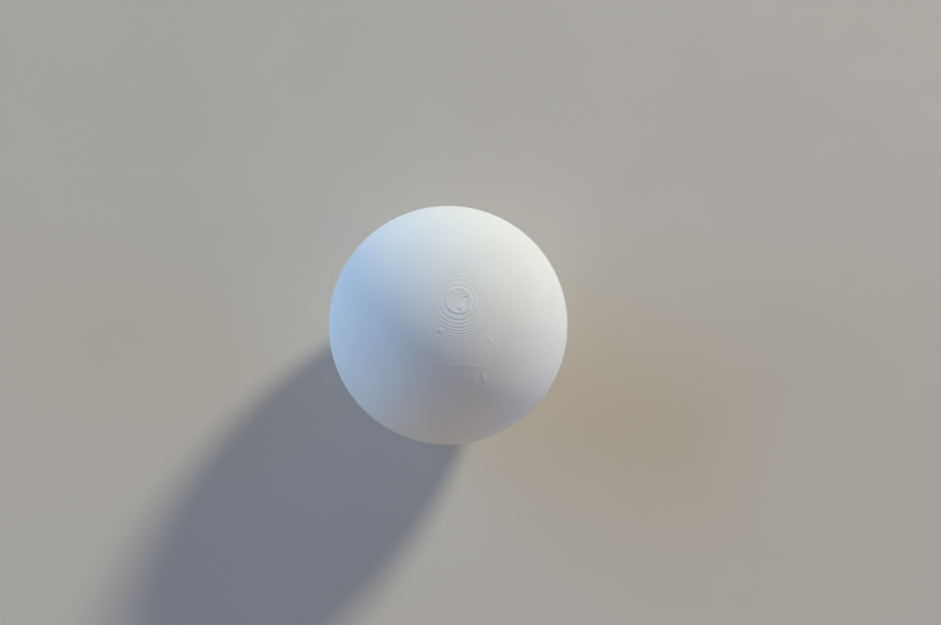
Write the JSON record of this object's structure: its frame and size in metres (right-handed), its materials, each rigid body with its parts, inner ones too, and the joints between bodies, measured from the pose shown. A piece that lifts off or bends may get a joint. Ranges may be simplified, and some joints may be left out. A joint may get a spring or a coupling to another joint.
{
  "type": "table tennis ball",
  "caption": "Hollow layer-printed table tennis ball: thin half shells glued at the equator over an inner joining ring, with a stepped crown at each pole.",
  "frame": {"origin": "centre of the ball", "axes": "+Z along the print axis, from the centre through the upper half shell's pole; X and Y lie in the seam plane"},
  "size_m": [0.04, 0.04, 0.04],
  "materials": {
    "shell": "matte white PLA with fine printed layers",
    "ring": "matte white PLA with fine printed layers",
    "adhesive": "cured clear adhesive, slightly cloudy"
  },
  "bodies": {
    "root": {"upper_half_shell": "shell", "lower_half_shell": "shell", "joining_ring": "ring", "seam_adhesive": "adhesive"}
  },
  "joints": []
}
